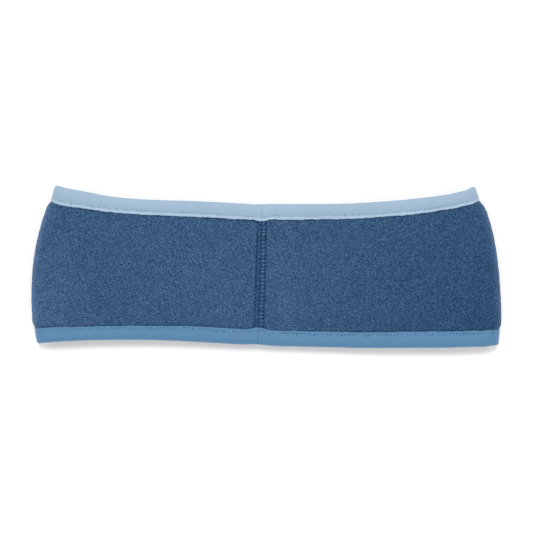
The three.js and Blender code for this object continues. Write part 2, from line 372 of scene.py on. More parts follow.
def grid_faces(rows, columns, closed):
    """Quads over a grid of points whose columns close, and whose rows close too if closed is true. Then
    the same quads on a grid that isn't wrapped, for its chart."""
    row, column = np.meshgrid(np.arange(rows if closed else rows - 1), np.arange(columns), indexing="ij")
    corners = [(row, column), (row + 1, column), (row + 1, column + 1), (row, column + 1)]
    wrapped = [(r % rows) * columns + c % columns for r, c in corners]
    open_grid = [r * (columns + 1) + c for r, c in corners]
    return np.stack(wrapped, -1).reshape(-1, 4), np.stack(open_grid, -1).reshape(-1, 4)


def end_caps(rows, columns):
    """Faces that close the first and the last row of a grid whose columns close."""
    first = np.arange(columns)
    return first, (rows - 1) * columns + first[::-1]


def finish_mesh(mesh, tone, chart):
    """Smooth shading, a tone for each point and a place on the cloth for each corner."""
    mesh.shade_smooth()
    layer = mesh.attributes.new(TONE, "FLOAT", "POINT")
    layer.data.foreach_set("value", np.ascontiguousarray(tone, dtype=np.float32).ravel())
    uv = mesh.uv_layers.new(name=CLOTH_MAP)
    uv.data.foreach_set("uv", np.ascontiguousarray(chart, dtype=np.float32).ravel())
    if mesh.validate():
        raise RuntimeError(f"{mesh.name} has faces that Blender had to mend")
    mesh.update()


def ring_mesh(name, points, tone, along, across):
    """A closed skin from sections that ring the whole band. along and across chart it, with one more
    value than there are rows and section points."""
    rows, columns = points.shape[:2]
    faces, chart_faces = grid_faces(rows, columns, True)
    mesh = bpy.data.meshes.new(name)
    mesh.from_pydata(points.reshape(-1, 3).tolist(), [], faces.tolist())
    chart = np.stack(np.meshgrid(along, across, indexing="ij"), -1).reshape(-1, 2)
    finish_mesh(mesh, tone, chart[chart_faces.ravel()])
    return mesh


def strand_parts(centres, radii, out, sides, flatten=1.0):
    """Tubes along strands of points, closed at both ends: their points, faces and chart.
    centres is strands by points by 3, radii matches it, and out is the way each strand's top looks."""
    strands, count = centres.shape[:2]
    tangent = np.gradient(centres, axis=1)
    tangent /= np.linalg.norm(tangent, axis=-1, keepdims=True)
    side = np.cross(tangent, out)
    side /= np.linalg.norm(side, axis=-1, keepdims=True)
    top = np.cross(side, tangent)
    turn = (2 * np.pi * np.arange(sides) / sides)[:, None]
    ring = side[:, :, None] * np.cos(turn) + top[:, :, None] * (flatten * np.sin(turn))
    points = centres[:, :, None] + ring * radii[:, :, None, None]
    faces, chart_faces = grid_faces(count, sides, False)
    reached = distances_along(centres)[:, :, None]
    girth = 2 * np.pi * radii.mean() * np.arange(sides + 1) / sides
    chart = np.stack(np.broadcast_arrays(reached, girth), -1).reshape(strands, -1, 2)
    caps = end_caps(count, sides)
    all_faces = []
    all_chart = []
    for strand in range(strands):
        first = strand * count * sides
        all_faces += (faces + first).tolist() + [(cap + first).tolist() for cap in caps]
        all_chart.append(chart[strand][chart_faces.ravel()])
        all_chart.append(np.repeat(chart[strand][:1], sides, axis=0))
        all_chart.append(np.repeat(chart[strand][-1:], sides, axis=0))
    return points.reshape(-1, 3), all_faces, np.concatenate(all_chart)


def strand_mesh(name, parts):
    """One mesh from several groups of tubes. Each part is (points, faces, chart, tone)."""
    points, face_lists, charts, tones = zip(*parts)
    faces = []
    first = 0
    for part_points, part_faces in zip(points, face_lists):
        faces += [[corner + first for corner in face] for face in part_faces]
        first += len(part_points)
    mesh = bpy.data.meshes.new(name)
    mesh.from_pydata(np.concatenate(points).tolist(), [], faces)
    finish_mesh(mesh, np.concatenate(tones), np.concatenate(charts))
    return mesh


# Materials

SOCKET_KINDS = {1: "NodeSocketFloat", 3: "NodeSocketVector", 4: "NodeSocketColor"}
BLACK = (0.0, 0.0, 0.0, 1.0)
NOWHERE = (0.0, 0.0, 0.0)
LEAST_TONE = 0.02


def new_group(name, extra):
    """A shader node group that gives a cloth's colour and the height of its relief, with the sockets
    given to it. extra holds the defaults of the inputs that other cloths don't have."""
    group = bpy.data.node_groups.new(name, "ShaderNodeTree")
    inputs = {"Colour": BLACK, "Shadow": BLACK, "Position": NOWHERE, "Tone": 1.0, **extra}
    for title, default in inputs.items():
        kind = SOCKET_KINDS[np.size(default)]
        group.interface.new_socket(name=title, in_out="INPUT", socket_type=kind).default_value = default
    group.interface.new_socket(name="Colour", in_out="OUTPUT", socket_type="NodeSocketColor")
    group.interface.new_socket(name="Height", in_out="OUTPUT", socket_type="NodeSocketFloat")
    return group, group.nodes.new("NodeGroupInput").outputs


def set_inputs(tree, node, inputs):
    """Link a node's inputs to the sockets given for them, or set them to the values given."""
    for key, value in inputs.items():
        if isinstance(value, bpy.types.NodeSocket):
            tree.links.new(value, node.inputs[key])
        else:
            node.inputs[key].default_value = value


def add_node(tree, kind, inputs=None, **settings):
    """A node with its settings and inputs."""
    node = tree.nodes.new(kind)
    for key, value in settings.items():
        setattr(node, key, value)
    set_inputs(tree, node, inputs or {})
    return node


def maths(tree, operation, *values, kind="ShaderNodeMath"):
    """The result of a Math node, or of another kind that takes an operation."""
    return add_node(tree, kind, dict(enumerate(values)), operation=operation).outputs[0]


def noise_over(tree, place, scale, detail, roughness=0.5, distortion=0.0):
    """Noise between 0 and 1 by place."""
    inputs = {"Vector": place, "Scale": scale, "Detail": detail}
    inputs |= {"Roughness": roughness, "Distortion": distortion}
    return add_node(tree, "ShaderNodeTexNoise", inputs).outputs["Fac"]


def finish_group(group, given, tone, height):
    """Give out the height of the relief, and the cloth's colour at a tone: its deepest shadow at 0, itself
    at 1, and paler above."""
    span = maths(group, "SUBTRACT", given["Colour"], given["Shadow"], kind="ShaderNodeVectorMath")
    colour = maths(group, "MULTIPLY_ADD", span, tone, given["Shadow"], kind="ShaderNodeVectorMath")
    add_node(group, "NodeGroupOutput", {"Colour": colour, "Height": height})
    return group


def nap_group():
    """Brushed nap: tufts that catch more or less light, the fibres on them and slow blotches."""
    group, given = new_group("Brushed Nap", {"Tufts Per Metre": 1800.0, "Contrast": 1.0})
    place, scale = given["Position"], given["Tufts Per Metre"]
    cells = add_node(group, "ShaderNodeTexVoronoi", {"Vector": place, "Scale": scale})
    tuft = add_node(group, "ShaderNodeSeparateXYZ", {0: cells.outputs["Color"]}).outputs["X"]
    gaps = cells.outputs["Distance"]
    fibres = noise_over(group, place, maths(group, "MULTIPLY", scale, 1.7), 2.0, 0.6, 1.4)
    blotches = noise_over(group, place, 70.0, 3.0, 0.6)
    light = maths(group, "MULTIPLY_ADD", tuft, tuft, -0.33)
    light = maths(group, "ADD", light, maths(group, "SUBTRACT", fibres, 0.5))
    light = maths(group, "SUBTRACT", light, maths(group, "MULTIPLY_ADD", gaps, 0.5, -0.22))
    mottle = maths(group, "MULTIPLY", light, given["Contrast"])
    weight = maths(group, "MULTIPLY_ADD", given["Tone"], 0.45, 0.55)
    slow = maths(group, "MULTIPLY_ADD", maths(group, "SUBTRACT", blotches, 0.5), 0.26, 1.0)
    slow_tone = maths(group, "MULTIPLY", slow, given["Tone"])
    tone = maths(group, "MAXIMUM", maths(group, "MULTIPLY_ADD", mottle, weight, slow_tone), LEAST_TONE)
    height = maths(group, "SUBTRACT", fibres, maths(group, "MULTIPLY", gaps, 0.6))
    return finish_group(group, given, tone, maths(group, "MULTIPLY_ADD", tuft, 0.3, height))


def knit_group():
    """Fine stretch knit: wales along the tape, courses across it and a little slub."""
    extra = {"Chart": NOWHERE, "Wales Per Metre": 2900.0, "Slub": 0.1}
    group, given = new_group("Fine Knit", extra)
    split = add_node(group, "ShaderNodeSeparateXYZ", {0: given["Chart"]}).outputs
    turns = maths(group, "MULTIPLY", given["Wales Per Metre"], 2 * math.pi)
    wale = maths(group, "SINE", maths(group, "MULTIPLY", split["Y"], turns))
    shifted = maths(group, "MULTIPLY_ADD", wale, 0.7, maths(group, "MULTIPLY", split["X"], turns))
    course = maths(group, "SINE", shifted)
    weave = maths(group, "MULTIPLY_ADD", course, 0.5, maths(group, "MULTIPLY", wale, 0.5))
    slub = noise_over(group, given["Position"], 420.0, 3.0, 0.6)
    drift = noise_over(group, given["Position"], 55.0, 1.0)
    uneven = maths(group, "ADD", maths(group, "SUBTRACT", slub, 0.5), maths(group, "SUBTRACT", drift, 0.5))
    worn = maths(group, "MULTIPLY_ADD", uneven, given["Slub"], 1.0)
    fine = maths(group, "MULTIPLY_ADD", weave, 0.035, worn)
    tone = maths(group, "MULTIPLY", fine, given["Tone"])
    return finish_group(group, given, tone, maths(group, "MULTIPLY_ADD", weave, 0.5, slub))


def thread_group():
    """Spun thread: plies that wind round the strand, with loose fibre."""
    group, given = new_group("Spun Thread", {"Chart": NOWHERE, "Plies Per Metre": 2400.0})
    split = add_node(group, "ShaderNodeSeparateXYZ", {0: given["Chart"]}).outputs
    slant = maths(group, "ADD", split["X"], split["Y"])
    turns = maths(group, "MULTIPLY", given["Plies Per Metre"], 2 * math.pi)
    ply = maths(group, "SINE", maths(group, "MULTIPLY", slant, turns))
    fibre = noise_over(group, given["Position"], 2600.0, 2.0, 0.6)
    height = maths(group, "MULTIPLY_ADD", ply, 0.35, fibre)
    factor = maths(group, "MULTIPLY_ADD", maths(group, "SUBTRACT", height, 0.5), 0.45, 1.0)
    tone = maths(group, "MAXIMUM", maths(group, "MULTIPLY", factor, given["Tone"]), LEAST_TONE)
    return finish_group(group, given, tone, height)


# The values that are the same all over a cloth, in the order in which each material gives them.
FINISH = ("Roughness", "Specular IOR Level", "Sheen Weight", "Sheen Roughness", "Sheen Tint")
BUMP_STRENGTH = 0.6


def cloth_material(name, effect_name, maker, colour, shadow, values, bump_depth, finish):
    """A material whose colour and relief come from a group, which is built once and shared. shadow is
    each channel's share of the colour that is left in its deepest shadow."""
    opaque = (*colour, 1.0)
    material = bpy.data.materials.new(name)
    material.use_nodes = True
    material.diffuse_color = opaque
    tree = material.node_tree
    shader = tree.nodes["Principled BSDF"]
    sources = {
        "Colour": opaque,
        "Shadow": tuple(value * share for value, share in zip(opaque, (*shadow, 1.0))),
        "Position": add_node(tree, "ShaderNodeTexCoord").outputs["Object"],
        "Tone": add_node(tree, "ShaderNodeAttribute", attribute_name=TONE).outputs["Fac"],
        "Chart": add_node(tree, "ShaderNodeUVMap", uv_map=CLOTH_MAP).outputs["UV"],
        **values,
    }
    group = bpy.data.node_groups.get(effect_name) or maker()
    effect = add_node(tree, "ShaderNodeGroup", node_tree=group)
    set_inputs(tree, effect, {key: value for key, value in sources.items() if key in effect.inputs})
    relief = {"Height": effect.outputs["Height"], "Distance": bump_depth, "Strength": BUMP_STRENGTH}
    bump = add_node(tree, "ShaderNodeBump", relief)
    set_inputs(tree, shader, dict(zip(FINISH, finish)))
    set_inputs(tree, shader, {"Base Color": effect.outputs["Colour"], "Normal": bump.outputs["Normal"]})
    return material


# What is left of each channel in each cloth's deepest shadow.
FLEECE_SHADOW = (0.0, 0.26, 0.41)
JOIN_SHADOW = (0.0, 0.25, 0.38)
TAPE_SHADOW = (0.1, 0.21, 0.3)


def fleece_material(colour):
    values = {"Tufts Per Metre": 3900.0, "Contrast": 2.35}
    finish = (0.95, 0.02, 0.55, 0.4, (0.3, 0.45, 0.72, 1.0))
    return cloth_material(
        "brushed_fleece", "Brushed Nap", nap_group, colour, FLEECE_SHADOW, values, 0.00035, finish
    )


def tape_material(name, colour, sheen_tint):
    values = {"Wales Per Metre": 2900.0, "Slub": 0.12}
    finish = (0.55, 0.35, 0.25, 0.4, sheen_tint)
    return cloth_material(name, "Fine Knit", knit_group, colour, TAPE_SHADOW, values, 0.00006, finish)


def thread_material(name, colour, shadow, plies, roughness):
    values = {"Plies Per Metre": plies}
    finish = (roughness, 0.04, 0.05, 0.5, (0.4, 0.55, 0.85, 1.0))
    return cloth_material(name, "Spun Thread", thread_group, colour, shadow, values, 0.00008, finish)


# Pieces

def fleece_places(form):
    """Places round the loop for the fleece's sections, close together on the layer that shows."""
    seam_side = form.beside_seam(0.0042)
    right = np.concatenate([np.linspace(0.5, seam_side, 22), np.linspace(seam_side, 1.0, 152)[1:]])
    left = (1.0 - right)[::-1][:-1]
    folds = np.linspace(1.0, 2.0, 27)[1:]
    front = np.linspace(2.0, 3.0, 172)[1:]
    return np.concatenate([left, right, folds, front, folds[:-1] + 2.0])


def press(form, around):
    """What the join's stitching leaves of the fleece's wall."""
    distance = np.abs(form.seam_distance(around))
    width = form.sizes.seam_width
    return blend(SEAM_PRESS, 1.0, smooth_step(distance, width / 2, width))


def fleece_half(form, around, across):
    """Half the fleece's wall at places on the band, pressed thinner by the binding and the join."""
    share = form.under_tape(around, across)
    on_layer = smooth_column(WALL_ROWS, WALL_OPEN, share)
    on_fold = smooth_column(WALL_ROWS, WALL_FOLD, share)
    folded = smooth_step(form.foldedness(around), 0.4, 0.95)
    return blend(on_layer, on_fold, folded) * form.sizes.fleece_wall / 2 * press(form, around)


# Painted light and shade over the nap, for how the lay of its fibres catches the light: painted darker to
# the right, most of all low down, and painted palest low on the left and beside the join. Each patch has
# its middle, its reach to the sides and up and down, and how much paler it is, or darker below 0.
LAY_START, LAY_END = 0.0, 0.13
LAY_DARKENING = 0.29
LAY_RISE = 3.8
NAP_PATCHES = (
    (-0.115, -0.022, 0.0145, 0.028, 0.24),
    (-0.086, -0.02, 0.011, 0.03, -0.06),
    (-0.026, -0.012, 0.03, 0.04, 0.06),
    (0.008, -0.018, 0.01, 0.024, 0.09),
)


def painted_nap_light(points):
    """Painted light and shade of the nap by place, for how its fibres lie under the light."""
    x, y = points[..., 0], points[..., 1]
    fall = smooth_step(x, LAY_START, LAY_END)
    tone = 1.0 + (LAY_RISE * y - LAY_DARKENING) * fall
    for middle_x, middle_y, reach_x, reach_y, gain in NAP_PATCHES:
        tone += gain * bell(x - middle_x, reach_x) * bell(y - middle_y, reach_y)
    return tone


def sunk(form, around):
    """How far the fleece lies under the bed of the join's threads."""
    share = np.abs(form.seam_distance(around)) / (form.sizes.seam_width / 2)
    return SEAM_TROUGH * (1.0 - smooth_step(share, 0.8, 0.97))


# Lines of points over each face of the strip, the slow waves in it, and the tone of the painted shadow that
# each tape's lip casts on the fleece beside it.
OUTER_LINES, INNER_LINES = 116, 54
WAVE_SIZE, WAVE_HEIGHT = 0.02, 0.00012
UPPER_LIP_SHADOW, LOWER_LIP_SHADOW = 0.66, 0.6


def fleece_mesh(form):
    """The fleece strip, closed into a loop and roughened by its nap."""
    sizes = form.sizes
    edge = WALL_ROWS[0, 0] * sizes.tape_width
    outer_lines = np.linspace(edge, form.fold_depth - edge, OUTER_LINES)
    inner_lines = np.linspace(form.fold_depth - edge, edge, INNER_LINES)
    across = np.concatenate([outer_lines, inner_lines])
    side = np.concatenate([np.ones(OUTER_LINES), -np.ones(INNER_LINES)])
    places = fleece_places(form)
    around = places[:, None]
    half = fleece_half(form, around, across) - sunk(form, around)
    smooth = form.off_wall(around, across, side * half)
    nap = lumps(smooth, sizes.nap_grain, 1) + 0.6 * lumps(smooth, sizes.nap_grain / 2, 2)
    wave = WAVE_HEIGHT * lumps(smooth, WAVE_SIZE, 3)
    share = form.under_tape(around, across)
    lift = (sizes.nap_height * nap + wave) * smooth_step(share, 0.7, 1.0)
    points = form.off_wall(around, across, side * (half + lift))
    points[..., 2] = np.maximum(points[..., 2], 0.0)
    # Painted shadow from each tape's lip on the fleece beside it, in blotches.
    lip_shadow = np.where(across > form.fold_depth / 2, UPPER_LIP_SHADOW, LOWER_LIP_SHADOW)
    lip_shadow = lip_shadow + 0.3 * lumps(smooth, 0.0022, 7)
    tone = blend(lip_shadow, 1.0, smooth_step(share, 1.01, 1.09)) * painted_nap_light(points)
    along = np.append(places, 4.0) * form.half_run
    return ring_mesh("fleece_cloth", points, tone, along, np.append(across, edge))


class HEADBAND_OT_fleece(bpy.types.Operator):
    """Make the brushed fleece strip, closed into a loop and folded flat"""

    bl_idname = "headband.fleece"
    bl_label = "Fleece Band"

    def execute(self, context):
        form = BandForm(context.scene.headband_sizes)
        material = fleece_material(context.scene.headband_colours.fleece)
        piece = new_piece("fleece_cloth", fleece_mesh(form), material)
        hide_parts("fleece_band")
        return {"FINISHED"}


def resample(points, count):
    """Points evenly spaced along a smooth line through the given ones."""
    rows = np.column_stack([np.arange(len(points)), points])
    fine = np.linspace(0, len(points) - 1, 60 * len(points))
    line = np.stack([smooth_column(rows, k, fine) for k in (1, 2)], axis=-1)
    reached = distances_along(line)
    at = np.linspace(0, reached[-1], count)
    return np.stack([np.interp(at, reached, line[:, k]) for k in range(2)], axis=-1)


def tape_section(rows, wall):
    """The tape's closed section, from its outer lip over the rim to its inner lip and back inside.
    Gives distances in from the edge, heights off the wall's middle and how many points are outside."""
    face = resample(rows, FACE_POINTS)
    outside = np.concatenate([face[::-1], face[1:] * (1, -1)])
    step = np.gradient(outside, axis=0)
    step /= np.linalg.norm(step, axis=1, keepdims=True)
    inward_normal = np.stack([-step[:, 1], step[:, 0]], axis=-1)
    inside = outside + inward_normal * wall
    kept = inside[1:-1:2][::-1]
    return np.concatenate([outside, kept]), len(outside)


# What differs between the tapes: node, slot, section, seed, place of the groove, how far its stitches
# waver, the tape's own join (place, lean and how dark its painted crease shade is), how far its lip bends
# in, how much painted shade darkens its needle holes and groove, how much painted highlight lightens its
# lip past the groove and its rim, and how much the pale flecks along its lip show.
TAPES = {
    "upper": {
        "node": "upper_binding", "slot": "pale_tape", "rows": UPPER_TAPE_ROWS, "seed": 17,
        "groove": 0.765, "waver": 0.0001, "join": -0.0001, "lean": 0.06, "crease": 0.28, "lift": 0.0008,
        "hole": 0.6, "line": 0.08, "lip": 0.195, "rim_highlight": 0.06, "fleck": 0.3,
    },
    "lower": {
        "node": "lower_binding", "slot": "blue_tape", "rows": LOWER_TAPE_ROWS, "seed": 23,
        "groove": 0.805, "waver": 0.00028, "join": -0.0003, "lean": -0.05, "crease": 0.3, "lift": 0.00085,
        "hole": 0.9, "line": 0.02, "lip": 0.0, "rim_highlight": 0.14, "fleck": 1.5,
    },
}


# Points on one face of a section, and the close sections beside the join: how far they go and their
# spacing. Then how the lips bend over the join: the flat top of the bend and its foot, to each side.
FACE_POINTS = 26
CLOSE_REACH, CLOSE_SPACING = 0.0021, 0.00014
BEND_TOP, BEND_FOOT = 0.0005, 0.005

# Half width and depth of the stitched groove, and the heights of the puckers beside it, of the crease
# where the tape's own ends are joined and of the ridge along that crease.
GROOVE_WIDTH, GROOVE_DEPTH = 0.00042, 0.00014
PUCKER, CREASE, RIDGE = 0.00005, -0.00015, 0.00007

# Unevenness of the lips: height, size and seed of each set of waves.
LIP_WAVES = ((0.00015, 0.01, 4), (0.0002, 0.0045, 10), (0.0003, 0.0013, 6))


def lip_reach(form, edge, around, from_join):
    """How far in the lip reaches, in tape widths. It reaches further where it passes over the join."""
    bend = TAPES[edge]["lift"] * (1.0 - smooth_step(np.abs(from_join), BEND_TOP, BEND_FOOT))
    return form.reach(around, edge) + bend / form.sizes.tape_width


def tape_grooves(form, edge, distances, pitch, length):
    """The wavering line of the stitches along a tape, and how hard each one pulls, by distance from
    the join."""
    facts = TAPES[edge]
    count = round(length / pitch)
    generator = np.random.default_rng(facts["seed"])
    waver = generator.normal(0, facts["waver"], count)
    pull = np.clip(generator.normal(0.7, 0.5, count), 0.0, 1.8)
    at = distances / pitch
    line = np.interp(at, np.arange(count + 1), np.append(waver, waver[0]))
    return facts["groove"] * form.sizes.tape_width + line, pull[np.round(at).astype(int) % count]


def tape_mesh(form, edge):
    """The tape folded over one edge, stitched down along its groove."""
    sizes = form.sizes
    facts = TAPES[edge]
    wall = sizes.tape_wall / sizes.tape_width
    section, outside = tape_section(facts["rows"], wall)
    tight, _ = tape_section(TIGHT_TAPE_ROWS, wall)
    line = form.line(edge, facts["groove"] * sizes.tape_width)
    places, distances, length = form.even_places(line, sizes.stitch_pitch / 4, 4)
    pitch = 4 * length / len(places)
    near_join = np.arange(-CLOSE_REACH, CLOSE_REACH, CLOSE_SPACING)
    clear = (distances > CLOSE_REACH + 0.0001) & (distances < length - CLOSE_REACH - 0.0001)
    places = np.concatenate([places[clear], np.mod(form.beside_seam(near_join) - 0.5, 4.0) + 0.5])
    distances = np.concatenate([distances[clear], np.mod(near_join, length)])
    order = np.argsort(distances, kind="stable")
    places, distances = places[order], distances[order]
    around = places[:, None]

    folded = form.tightness(around)
    inward = blend(section[:, 0], tight[:, 0], folded) * sizes.tape_width
    out = blend(section[:, 1], tight[:, 1], folded) * sizes.tape_width
    from_join = np.where(distances > length / 2, distances - length, distances)[:, None]
    lip_share = smooth_step(inward, 0.75 * sizes.tape_width, sizes.tape_width)
    spots = form.middle(around, form.line(edge, np.abs(inward)))
    uneven = sum(height * lumps(spots, size, seed) for height, size, seed in LIP_WAVES)
    reached = inward * lip_reach(form, edge, around, from_join) + uneven * lip_share

    groove, pull = tape_grooves(form, edge, distances, pitch, length)
    groove, pull = groove[:, None], pull[:, None]
    phase = np.cos(2 * np.pi * distances[:, None] / pitch)
    face = np.sign(out) * (np.arange(out.shape[1]) < outside)
    by_groove = bell(inward - groove, GROOVE_WIDTH) * (1.0 - folded)
    hole = pull * np.clip(phase, 0.0, 1.0) ** 3
    dimple = -GROOVE_DEPTH * by_groove * (0.35 + hole)
    pucker = PUCKER * lumps(spots, 0.0034, 5) * smooth_step(inward, 0.001, 0.004)
    leaning = from_join - facts["join"] - facts["lean"] * (inward - sizes.tape_width / 2)
    own_join = CREASE * bell(leaning, 0.0002) + RIDGE * bell(leaning - 0.0006, 0.0004)
    lift = face * (dimple + pucker + own_join)
    points = form.off_wall(around, form.line(edge, np.clip(reached, 0.0, None)), out + lift)
    points[..., 2] = np.maximum(points[..., 2], 0.0)

    # Painted highlight on the lip past the groove, with painted shade just before the groove where the lip
    # has that highlight.
    past_groove = smooth_step(inward, groove + 0.0002, groove + 0.0009)
    before_groove = bell(inward - groove + 0.0016, 0.0018)
    shade = 1.0 + facts["lip"] * past_groove - 0.07 * before_groove * (facts["lip"] > 0)
    # Painted shade in the needle holes and along the stitched groove.
    shade = shade * (1.0 - facts["hole"] * by_groove * hole - facts["line"] * by_groove)
    # Painted highlight along the rim.
    shade = shade * (1.0 + facts["rim_highlight"] * bell(inward, 0.001))
    beside_groove = bell(inward - groove - 0.0004, 0.0006)
    flecks = np.clip(lumps(spots, 0.0011, 8) - 0.1, 0.0, 1.0) * beside_groove
    shade = shade * (1.0 + facts["fleck"] * flecks * (1.0 - folded))
    # Painted shade in the crease where the tape's own ends are joined, in lumps, and a painted highlight on
    # the ridge beside it.
    darker = facts["crease"] * (1.0 + 0.8 * lumps(spots, 0.0012, 9))
    shade = shade * (1.0 - darker * bell(leaning, 0.00019))
    shade = shade * (1.0 + 0.06 * bell(leaning - 0.00055, 0.0003))
    # Painted shade on the tip of the lip, where it turns down to the fleece.
    shade = shade * (1.0 - 0.92 * smooth_step(inward, 0.985 * sizes.tape_width, sizes.tape_width))
    tone = np.broadcast_to(shade, points.shape[:2])
    if edge == "lower":
        points, tone = points[:, ::-1], tone[:, ::-1]
    chart_across = np.arange(points.shape[1] + 1) * 0.0004
    return ring_mesh(f"{edge}_tape", points, tone, np.append(distances, length), chart_across)


class HEADBAND_OT_tapes(bpy.types.Operator):
    """Make the two stretch tapes, each folded over an edge of the fleece"""

    bl_idname = "headband.tapes"
    bl_label = "Edge Tapes"

    def execute(self, context):
        form = BandForm(context.scene.headband_sizes)
        colours = context.scene.headband_colours
        looks = {
            # The upper tape's colour holds painted sheen over the blue of the lower tape.
            "upper": ("sheen_painted_upper_tape_knit", colours.pale_tape, (0.6, 0.8, 1.0, 1.0)),
            "lower": ("blue_tape_knit", colours.blue_tape, (0.45, 0.7, 1.0, 1.0)),
        }
        for edge, (name, colour, tint) in looks.items():
            piece = new_piece(f"{edge}_tape", tape_mesh(form, edge), tape_material(name, colour, tint))
            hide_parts(TAPES[edge]["node"])
        return {"FINISHED"}


# Where a tape's stitch comes up and goes down, as shares of the pitch.
STITCH_START, STITCH_END = 0.14, 0.86
STITCH_SIDES = 6


def tape_stitch_mesh(form, edge):
    """The visible threads of the stitching along one tape, on both its faces."""
    sizes = form.sizes
    facts = TAPES[edge]
    line = form.line(edge, facts["groove"] * sizes.tape_width)
    places, _, length = form.even_places(line, sizes.stitch_pitch / 4, 4)
    count = len(places) // 4
    looped = np.append(places, places[0] + 4.0)
    stops = np.linspace(STITCH_START, STITCH_END, 6)
    along = np.arange(count)[:, None] + stops
    spots = np.interp(along * 4, np.arange(len(looped)), looped)
    distances = along * length / count
    from_join = np.where(distances > length / 2, distances - length, distances)
    groove, _ = tape_grooves(form, edge, distances, length / count, length)
    across = form.line(edge, groove * lip_reach(form, edge, spots, from_join))
    folded = form.tightness(spots)
    heights = [
        np.interp(facts["groove"], rows[:, 0], rows[:, 1]) for rows in (facts["rows"], TIGHT_TAPE_ROWS)
    ]
    height = blend(heights[0], heights[1], folded) * sizes.tape_width
    rise = np.sin(np.pi * (stops - STITCH_START) / (STITCH_END - STITCH_START))
    radii = np.broadcast_to(0.00007 + 0.0001 * rise, spots.shape)
    parts = []
    for face in (1.0, -1.0):
        out = face * (height - 0.0002 + 0.00013 * rise)
        centres = form.off_wall(spots, across, out)
        centres[..., 2] = np.maximum(centres[..., 2], 0.00015)
        up = form.facing(spots, across) * face
        points, faces, chart = strand_parts(centres, radii, up, STITCH_SIDES)
        # Painted shade where each stitch sinks into its holes, lighter over its crest.
        tone = np.repeat(np.broadcast_to(0.75 + 0.25 * rise, spots.shape).ravel(), STITCH_SIDES)
        parts.append((points, faces, chart, tone))
    return strand_mesh(f"{edge}_tape_stitches", parts)


class HEADBAND_OT_tape_stitches(bpy.types.Operator):
    """Make the stitches that hold the two tapes"""

    bl_idname = "headband.tape_stitches"
    bl_label = "Tape Stitches"

    def execute(self, context):
        form = BandForm(context.scene.headband_sizes)
        colours = context.scene.headband_colours
        # The upper stitches take the upper tape's colour, painted sheen and all.
        for edge, colour, paler in (("upper", colours.pale_tape, 0.95), ("lower", colours.blue_tape, 1.35)):
            thread = tuple(paler * value for value in colour)
            material = thread_material(f"{edge}_stitch_thread", thread, TAPE_SHADOW, 2600.0, 0.6)
            piece = new_piece(f"{edge}_tape_stitches", tape_stitch_mesh(form, edge), material)
        return {"FINISHED"}


# Columns of needle holes in the join, from left to right. Each has its distance from the join's middle,
# how far below its stitch the hole is, as a share of the pitch, the hole's half width and half height,
# its slope and how deep the holes are, which also sets how dark their painted shade is.
SEAM_HOLES = (
    (-0.0022, 0.0, 0.00044, 0.00046, 0.3, 1.7),
    (-0.0002, 0.5, 0.00038, 0.00045, 0.1, 1.5),
    (0.0023, 0.36, 0.00052, 0.00045, 0.5, 2.0),
)
# Yarn between the columns: where its strands start and end across the join, how high they bulge, their
# radius, slant in stitches and the tone of the painted highlight on their crests, and the seed for how they
# differ.
SEAM_RUNGS = (
    (0.0002, 0.0021, 0.00026, 0.00046, 0.32, 1.55, 300250),
    (-0.0016, -0.0004, 0.00022, 0.0004, 0.2, 1.3, 299640),
)
SEAM_SIDES = 8

# The bed's lines of points, how far it stands over the fleece, falls at its sides, sinks along its columns
# and in its holes, and how far inside the fleece its underside lies.
BED_LINES = 31
BED_RISE, BED_FALL, COLUMN_DEPTH, HOLE_DEPTH, BED_SUNK = 0.00018, 0.00036, 0.00005, 0.0003, 0.0006

# Where the join's threads start under each tape's lip, in tape widths.
JOIN_START = 0.97


def join_lines(form, spacing):
    """Lines of the band that the join crosses, from just under one tape's lip to the other's, evenly
    spaced, with their distances along the join."""
    start = JOIN_START * form.sizes.tape_width
    fine = np.linspace(start, form.fold_depth - start, 2001)
    reached = distances_along(form.middle(0.5, fine))
    distances = np.arange(0.0, reached[-1], spacing)
    return np.interp(distances, reached, fine), distances


def seam_stitch_places(form, face):
    """Distance of each stitch of the join along it, each a little out of step."""
    _, distances = join_lines(form, form.sizes.seam_pitch)
    generator = np.random.default_rng(41 if face > 0 else 43)
    return distances + form.sizes.seam_pitch * (0.35 + generator.normal(0.0, 0.06, len(distances)))


